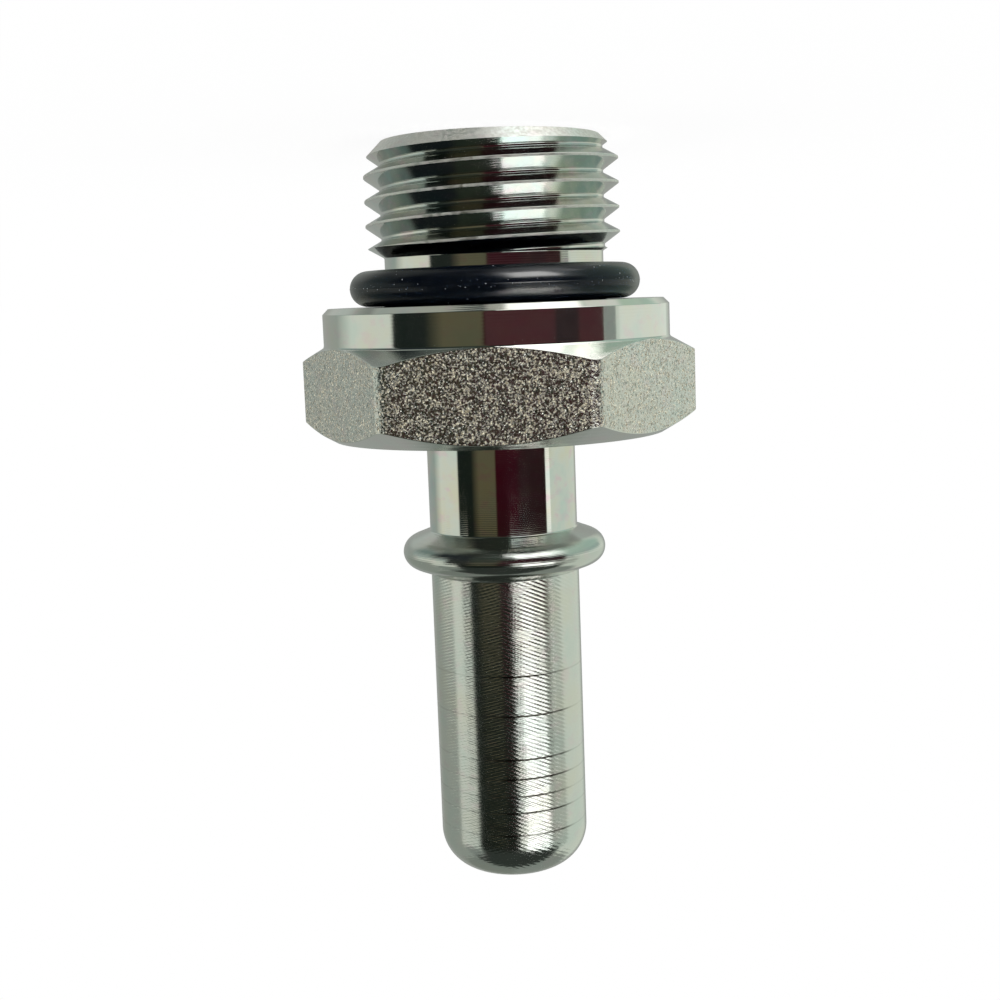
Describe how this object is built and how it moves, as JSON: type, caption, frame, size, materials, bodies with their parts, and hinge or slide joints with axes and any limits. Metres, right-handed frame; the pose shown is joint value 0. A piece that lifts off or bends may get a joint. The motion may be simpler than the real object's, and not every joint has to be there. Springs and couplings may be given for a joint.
{
  "type": "quick disconnect coupling",
  "caption": "Male half of a quick disconnect coupling: threaded port stud with an O-ring, round collar, wrench hexagon, neck, latching bead and plain push-in spigot.",
  "frame": {"origin": "centre of the thread's end face, which is the bottom centre of the whole part", "axes": "+Z along the axis, from the thread towards the spigot's tip; two flats of the hexagon face +Y and -Y"},
  "size_m": [0.0248, 0.0218, 0.0466],
  "materials": {
    "plated_steel": "turned steel with bright zinc plating and a thin clear passivate, smooth on the neck, satin on the spigot, pitted on the hexagon",
    "nitrile_rubber": "moulded rubber, semi-matt, with a fine parting line round its middle"
  },
  "bodies": {
    "root": {"fitting_body": "plated_steel", "o_ring": "nitrile_rubber"}
  },
  "joints": []
}
